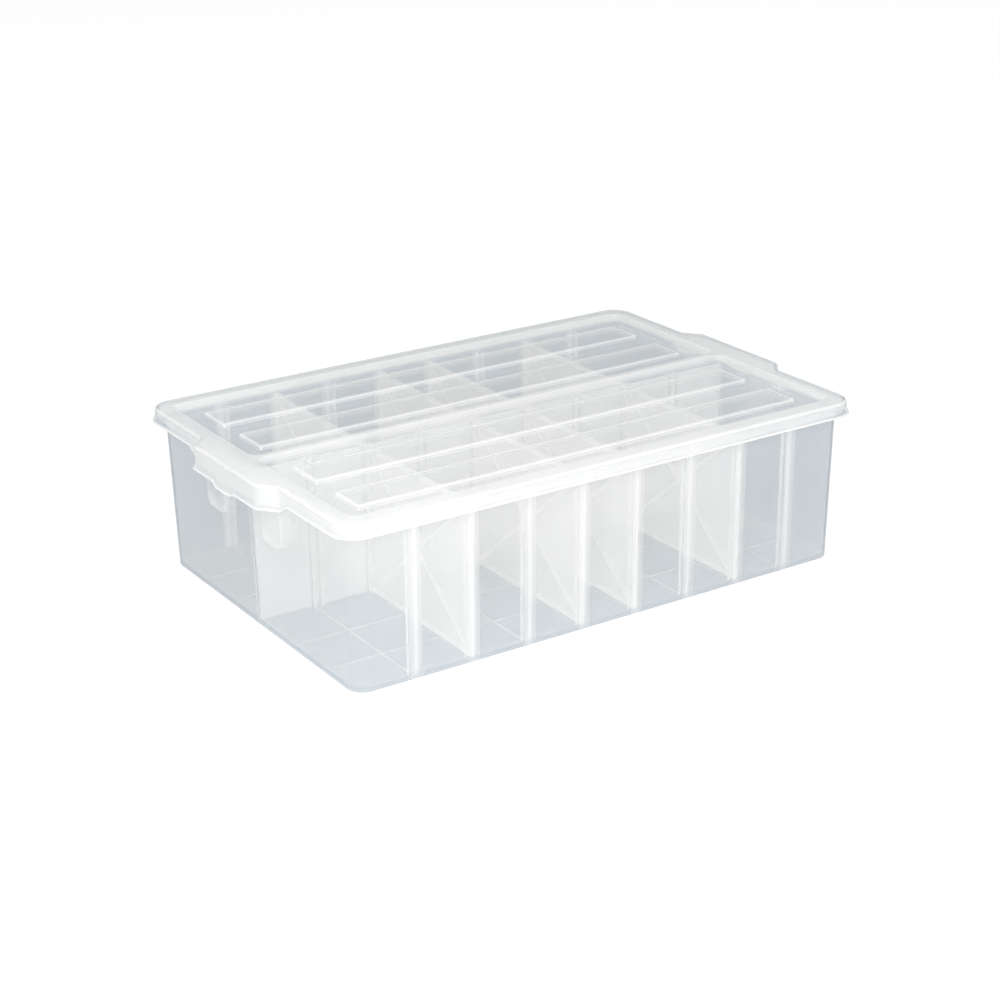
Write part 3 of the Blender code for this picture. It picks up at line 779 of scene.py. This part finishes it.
def tub_inside(shell):
    """Both halves' inner walls, ribs and floors; returns the ring around the whole mouth."""
    mouths = []
    partition_edge = []
    for flip in (1, -1):
        rows = []
        levels = [(FLOOR + FLOOR_FILLET * up, -FLOOR_FILLET * inset) for up, inset in FILLET_POINTS]
        for z, grow in levels + [(INSIDE_TOP, 0.0)]:
            corners = pocket(z)
            rows.append([shell.point(x, y * flip, z) for x, y in outline(corners, grow)])
        shell.stack(rows, spans(corners, CLOUD_WALL))
        shell.cap(rows[0], CLOUD_FLOOR)
        kinds = per_point(corners, 5)
        upper = rows[-1]
        wall = [i for i, kind in enumerate(kinds) if kind == "W"]
        for i, kind in enumerate(kinds):
            if kind == "T" and kinds[i - 1] == "W":
                shell.face(upper[i - 1:i + 5], CLOUD_WALL)
        mouths.append([upper[i] for i in wall])
        partition_edge.append(upper[wall[-1]:] + [upper[0]])
    shell.cap(partition_edge[0] + list(reversed(partition_edge[1])), CLOUD_EDGE)
    return mouths[0] + list(reversed(mouths[1]))


def tub_brim(shell, mouth, rim_top):
    """Carries the mouth up to the rim's top, rounds its edge and closes the rim."""
    shrink_x = inner_x(RIM_UNDER) - inner_x(INSIDE_TOP)
    shrink_y = inner_y(RIM_UNDER) - inner_y(INSIDE_TOP)
    near_x = inner_x(RIM_TOP) - BRIM_BAND
    near_y = inner_y(RIM_TOP) - BRIM_BAND
    low = []
    high = []
    for index in mouth:
        x, y, z = shell.points[index]
        if abs(x) > BASE_X - END_BAND:
            x += math.copysign(shrink_x, x)
        if abs(y) > PARTITION_BAND:
            y += math.copysign(shrink_y, y)
        low.append(shell.point(x, y, RIM_TOP - BRIM_ROUND))
        if abs(x) > near_x:
            x += math.copysign(BRIM_ROUND, x)
        if abs(y) > near_y:
            y += math.copysign(BRIM_ROUND, y)
        high.append(shell.point(x, y, RIM_TOP))
    shell.skin(mouth, low, CLOUD_WALL)
    shell.skin(low, high, CLOUD_RIM)
    shell.cap(rim_top, CLOUD_RIM_FLAT, [high])


def build_tub(material):
    shell = Shell()
    under_edge = tub_outside(shell)
    rim_top = tub_rim(shell, under_edge)
    tub_brim(shell, tub_inside(shell), rim_top)
    piece = shell.build("tub_shell", material)
    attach(piece, "tub")
    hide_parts("tub")
    return piece


def build_base_ribs(material):
    """The fine grid of ribs under the base, one bar for each slot and for each third."""
    shell = Shell()
    r = BASE_RIB_ROUND
    reach_x, reach_y = BASE_X - BASE_RIB_END, BASE_Y - BASE_RIB_END
    bars = [(slot_centre(i), 0.0, BASE_RIB / 2, reach_y) for i in range(SLOT_COUNT)]
    bars += [(0.0, side * y, reach_x, BASE_RIB / 2) for y in BASE_ROWS for side in (-1, 1)]
    for x, y, half_x, half_y in bars:
        lift = BASE_RIB_LIFT if half_x > half_y else 0.0
        plan = box(x - half_x, x + half_x, y - half_y, y + half_y, BASE_RIB_CORNER, 3)
        rings = [shell.ring(outline(plan, -r), lift), shell.ring(outline(plan), r * 0.6 + lift),
                 shell.ring(outline(plan), BASE_RECESS + BASE_RIB_SINK)]
        shell.cap(rings[0], CLOUD_BASE_RIB)
        shell.stack(rings, CLOUD_BASE_RIB)
        shell.cap(rings[-1], 0.0)
    piece = shell.build("base_ribs", material)
    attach(piece, "tub")
    return piece


# ---- dividers -----------------------------------------------------------------------------
def build_divider(node, material):
    """A drafted plate with a raised frame and a raised cross on both faces, edges rounded."""
    low_corner, high_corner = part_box(node)
    side = 1 if low_corner.y > 0 else -1
    x = (low_corner.x + high_corner.x) / 2
    half_thick = (high_corner.x - low_corner.x) / 2
    low, high = low_corner.z, high_corner.z
    shell = Shell()

    def corner(z, outer, inset_y=0.0):
        play = DIVIDER_FIT + inset_y
        y = inner_y(z) - play if outer else partition_half(z) + play
        return side * y, z

    def frame_ring(inset):
        return [corner(low + inset, False, inset), corner(low + inset, True, inset),
                corner(high - inset, True, inset), corner(high - inset, False, inset)]

    ring = frame_ring(0.0)
    middle = (sum(p[0] for p in ring) / 4, sum(p[1] for p in ring) / 4)

    def toward(p, q, amount):
        dx, dy = unit(q[0] - p[0], q[1] - p[1])
        return p[0] + dx * amount, p[1] + dy * amount

    def windows(margin):
        """The four panels between frame and cross, each side moved in by margin."""
        inside = frame_ring(DIVIDER_FRAME + margin)
        half_cross = DIVIDER_CROSS / 2 + margin
        found = []
        for k in range(4):
            p, q = inside[k], inside[(k + 1) % 4]
            edge = unit(q[0] - p[0], q[1] - p[1])
            ray_p = unit(middle[0] - p[0], middle[1] - p[1])
            ray_q = unit(middle[0] - q[0], middle[1] - q[1])
            start = toward(p, q, half_cross / abs(ray_p[0] * edge[1] - ray_p[1] * edge[0]))
            end = toward(q, p, half_cross / abs(ray_q[0] * edge[1] - ray_q[1] * edge[0]))
            det = ray_p[0] * -ray_q[1] + ray_p[1] * ray_q[0]
            dx, dy = end[0] - start[0], end[1] - start[1]
            t = (dx * -ray_q[1] + dy * ray_q[0]) / det
            found.append([start, end, (start[0] + ray_p[0] * t, start[1] + ray_p[1] * t)])
        return found

    r = DIVIDER_ROUND
    share = r * ROUND_SHARE
    edges = []
    for face in (-1, 1):
        levels = [(windows(-r), half_thick), (windows(-share), half_thick - share),
                  (windows(0.0), half_thick - r), (windows(0.0), DIVIDER_WEB / 2 + r * 0.5),
                  (windows(r * 0.5), DIVIDER_WEB / 2)]
        holes = []
        for k in range(4):
            rows = [[shell.point(x + face * out, y, z) for y, z in level[k]]
                    for level, out in levels]
            shell.stack(rows, CLOUD_CROSS)
            shell.cap(rows[-1], CLOUD_WEB)
            holes.append(rows[0])
        outer = [[shell.point(x + face * out, y, z) for y, z in frame_ring(inset)]
                 for out, inset in ((half_thick, r), (half_thick - share, share),
                                    (half_thick - r, 0.0))]
        shell.cap(outer[0], CLOUD_FRAME, holes)
        shell.stack(outer, CLOUD_EDGE)
        edges.append(outer[-1])
    shell.skin(edges[0], edges[1], CLOUD_EDGE)
    piece = shell.build(node + "_plate", material, DIVIDER_SOFT_ANGLE)
    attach(piece, node)
    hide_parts(node)
    return piece


# colour, tint of the light let through, roughness, seed
tub_plastic = milky("tub milky plastic", (0.965, 0.965, 0.960), (0.985, 0.99, 0.992), 0.16, 1)
lid_plastic = milky("lid milky plastic", (0.970, 0.968, 0.962), (0.985, 0.99, 0.992), 0.20, 2)
divider_plastic = milky("divider milky plastic", (0.970, 0.965, 0.955), (0.985, 0.985, 0.985), 0.26, 3)
build_tub(tub_plastic)
build_base_ribs(tub_plastic)
build_lid(lid_plastic)
for node in sorted(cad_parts):
    if node.startswith("divider"):
        build_divider(node, divider_plastic)


# ---- stage --------------------------------------------------------------------------------
FLOOR_DROP = 0.0003       # keeps the base's own faces clear of the floor's
FLOOR_HALF = 20.0
DOME = 0.57               # brightness of the studio around the object
PAINTED_SHADE_BEHIND = (0.29, 0.385, 0.48, 1.0)      # painted shade: the floor and backdrop take this darker grey-blue only where seen through the plastic
FLOOR_PALE = (0.86, 0.86, 0.86, 1.0)   # the floor as it lights the object
FLOOR_SHADE = (0.25, 0.25, 0.25, 1.0)  # the part of the seen floor that takes shadows
FLOOR_GLOW = 0.84                      # and the part that doesn't
BACKDROP = 1.05                        # brightness of the seen backdrop
BOX_MIDDLE = (0.0, 0.0, 0.05)
SOFTBOXES = (                          # name, place, size, power
    ("key", (-0.70, -0.93, 0.66), (0.5, 0.5), 12.0),
    ("fill", (0.85, -1.35, 0.80), (0.6, 0.4), 3.8),
    ("back", (0.7, 1.4, 1.3), (1.6, 0.8), 4.0),
)
CAMERA_PLACE = (-0.73657, -1.12905, 0.57643)
CAMERA_TURN = (-33.07, 21.60, -0.76)   # azimuth, elevation and roll, in degrees
CAMERA_LENS = 76.98


def stage_switch(nodes, links):
    """Two outputs: 1 where the stage is seen through plastic and takes its painted shade, and 1 for
    any camera ray.
    """
    path = nodes.new("ShaderNodeLightPath")
    through = nodes.new("ShaderNodeMath")
    through.operation = "GREATER_THAN"
    through.inputs[1].default_value = 0.5
    links.new(path.outputs["Transparent Depth"], through.inputs[0])
    both = nodes.new("ShaderNodeMath")
    both.operation = "MULTIPLY"
    links.new(through.outputs[0], both.inputs[0])
    links.new(path.outputs["Is Camera Ray"], both.inputs[1])
    return both.outputs[0], path.outputs["Is Camera Ray"]


def floor_material():
    material = bpy.data.materials.new("pale floor")
    material.use_nodes = True
    nodes, links = material.node_tree.nodes, material.node_tree.links
    nodes.clear()
    painted_shade_mask, camera_ray = stage_switch(nodes, links)
    plain = nodes.new("ShaderNodeBsdfDiffuse")
    plain.inputs["Color"].default_value = FLOOR_PALE
    soft = nodes.new("ShaderNodeBsdfDiffuse")
    soft.inputs["Color"].default_value = FLOOR_SHADE
    glow = nodes.new("ShaderNodeEmission")
    glow.inputs["Color"].default_value = WHITE
    glow.inputs["Strength"].default_value = FLOOR_GLOW
    shown = nodes.new("ShaderNodeAddShader")
    links.new(soft.outputs[0], shown.inputs[0])
    links.new(glow.outputs[0], shown.inputs[1])
    direct = nodes.new("ShaderNodeMixShader")
    links.new(camera_ray, direct.inputs[0])
    links.new(plain.outputs[0], direct.inputs[1])
    links.new(shown.outputs[0], direct.inputs[2])
    # painted shade: where seen through the plastic the floor is this darker grey-blue instead of pale
    painted_shade = nodes.new("ShaderNodeBsdfDiffuse")
    painted_shade.inputs["Color"].default_value = PAINTED_SHADE_BEHIND
    mixed = nodes.new("ShaderNodeMixShader")
    links.new(painted_shade_mask, mixed.inputs[0])
    links.new(direct.outputs[0], mixed.inputs[1])
    links.new(painted_shade.outputs[0], mixed.inputs[2])
    output = nodes.new("ShaderNodeOutputMaterial")
    links.new(mixed.outputs[0], output.inputs["Surface"])
    return material


def build_floor():
    mesh = bpy.data.meshes.new("pale_floor")
    h = FLOOR_HALF
    mesh.from_pydata([(-h, -h, -FLOOR_DROP), (h, -h, -FLOOR_DROP),
                      (h, h, -FLOOR_DROP), (-h, h, -FLOOR_DROP)], [], [(0, 1, 2, 3)])
    mesh.materials.append(floor_material())
    floor = bpy.data.objects.new("pale_floor", mesh)
    bpy.context.scene.collection.objects.link(floor)


def build_world():
    world = bpy.data.worlds.new("soft studio")
    bpy.context.scene.world = world
    world.use_nodes = True
    nodes, links = world.node_tree.nodes, world.node_tree.links
    nodes.clear()
    painted_shade_mask, camera_ray = stage_switch(nodes, links)
    light = nodes.new("ShaderNodeBackground")
    light.inputs["Color"].default_value = WHITE
    light.inputs["Strength"].default_value = DOME
    white = nodes.new("ShaderNodeBackground")
    white.inputs["Strength"].default_value = BACKDROP
    white.inputs["Color"].default_value = WHITE
    # painted shade: where seen through the plastic the backdrop is the same darker grey-blue
    painted_shade = nodes.new("ShaderNodeBackground")
    painted_shade.inputs["Color"].default_value = PAINTED_SHADE_BEHIND
    direct = nodes.new("ShaderNodeMixShader")
    links.new(camera_ray, direct.inputs[0])
    links.new(light.outputs[0], direct.inputs[1])
    links.new(white.outputs[0], direct.inputs[2])
    mixed = nodes.new("ShaderNodeMixShader")
    links.new(painted_shade_mask, mixed.inputs[0])
    links.new(direct.outputs[0], mixed.inputs[1])
    links.new(painted_shade.outputs[0], mixed.inputs[2])
    output = nodes.new("ShaderNodeOutputWorld")
    links.new(mixed.outputs[0], output.inputs["Surface"])


def softbox(name, place, size, power):
    data = bpy.data.lights.new(name, "AREA")
    data.shape = "RECTANGLE"
    data.size, data.size_y = size
    data.energy = power
    lamp = bpy.data.objects.new(name, data)
    lamp.location = place
    aim = Vector(BOX_MIDDLE) - Vector(place)
    lamp.rotation_euler = aim.to_track_quat("-Z", "Y").to_euler()
    bpy.context.scene.collection.objects.link(lamp)


def build_camera():
    """A long lens, a little above the box, from its front left."""
    azimuth, elevation, roll = (math.radians(angle) for angle in CAMERA_TURN)
    back = Vector((math.sin(azimuth) * math.cos(elevation),
                   -math.cos(azimuth) * math.cos(elevation), math.sin(elevation)))
    level = Vector((math.cos(azimuth), math.sin(azimuth), 0.0))
    above = back.cross(level)
    right = level * math.cos(roll) + above * math.sin(roll)
    up = above * math.cos(roll) - level * math.sin(roll)
    data = bpy.data.cameras.new("camera")
    data.sensor_width = 36.0
    data.lens = CAMERA_LENS
    data.clip_start, data.clip_end = 0.05, 60.0
    camera = bpy.data.objects.new("camera", data)
    turn = Matrix((right, up, back)).transposed().to_4x4()
    camera.matrix_world = Matrix.Translation(CAMERA_PLACE) @ turn
    bpy.context.scene.collection.objects.link(camera)
    bpy.context.scene.camera = camera


build_floor()
build_world()
for lamp_values in SOFTBOXES:
    softbox(*lamp_values)
build_camera()

scene = bpy.context.scene
scene.view_settings.view_transform = "Standard"
scene.view_settings.look = "None"
scene.cycles.transparent_max_bounces = 64
scene.cycles.max_bounces = 16
scene.cycles.diffuse_bounces = 10
scene.cycles.transmission_bounces = 10
scene.cycles.glossy_bounces = 4
